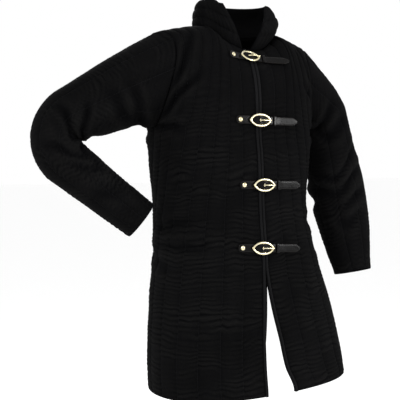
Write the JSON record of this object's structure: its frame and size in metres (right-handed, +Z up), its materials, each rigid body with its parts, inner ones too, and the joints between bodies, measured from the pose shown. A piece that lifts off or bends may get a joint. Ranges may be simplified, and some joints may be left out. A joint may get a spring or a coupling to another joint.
{
  "type": "gambeson",
  "caption": "Thigh-length quilted cloth gambeson in its worn form, with a stand collar, vertical channels and strap-and-buckle front closures.",
  "frame": {"origin": "middle of the neck opening, level with the foot of the collar at its highest, where the wearer's shoulders and neck hold the garment", "axes": "-Y out of the front, +X towards the wearer's left, +Z up out of the neck"},
  "size_m": [0.9533, 0.3664, 0.9588],
  "materials": {
    "quilted_cloth": "matte black quilted cotton",
    "binding_tape": "black twill tape",
    "strap_leather": "glossy black",
    "brass": "polished"
  },
  "bodies": {
    "root": {"front_right": "quilted_cloth", "front_left": "quilted_cloth", "back": "quilted_cloth", "sleeve_right": "quilted_cloth", "sleeve_left": "quilted_cloth", "collar": "quilted_cloth", "edge_right": "binding_tape", "edge_left": "binding_tape", "strap_1": "strap_leather", "buckle_1": "brass", "tongue_1": "brass", "chape_1": "strap_leather", "keeper_1": "strap_leather", "rivet_1": "brass", "strap_2": "strap_leather", "buckle_2": "brass", "tongue_2": "brass", "chape_2": "strap_leather", "keeper_2": "strap_leather", "rivet_2": "brass", "strap_3": "strap_leather", "buckle_3": "brass", "tongue_3": "brass", "chape_3": "strap_leather", "keeper_3": "strap_leather", "rivet_3": "brass", "strap_4": "strap_leather", "buckle_4": "brass", "tongue_4": "brass", "chape_4": "strap_leather", "keeper_4": "strap_leather", "rivet_4": "brass"}
  },
  "joints": []
}
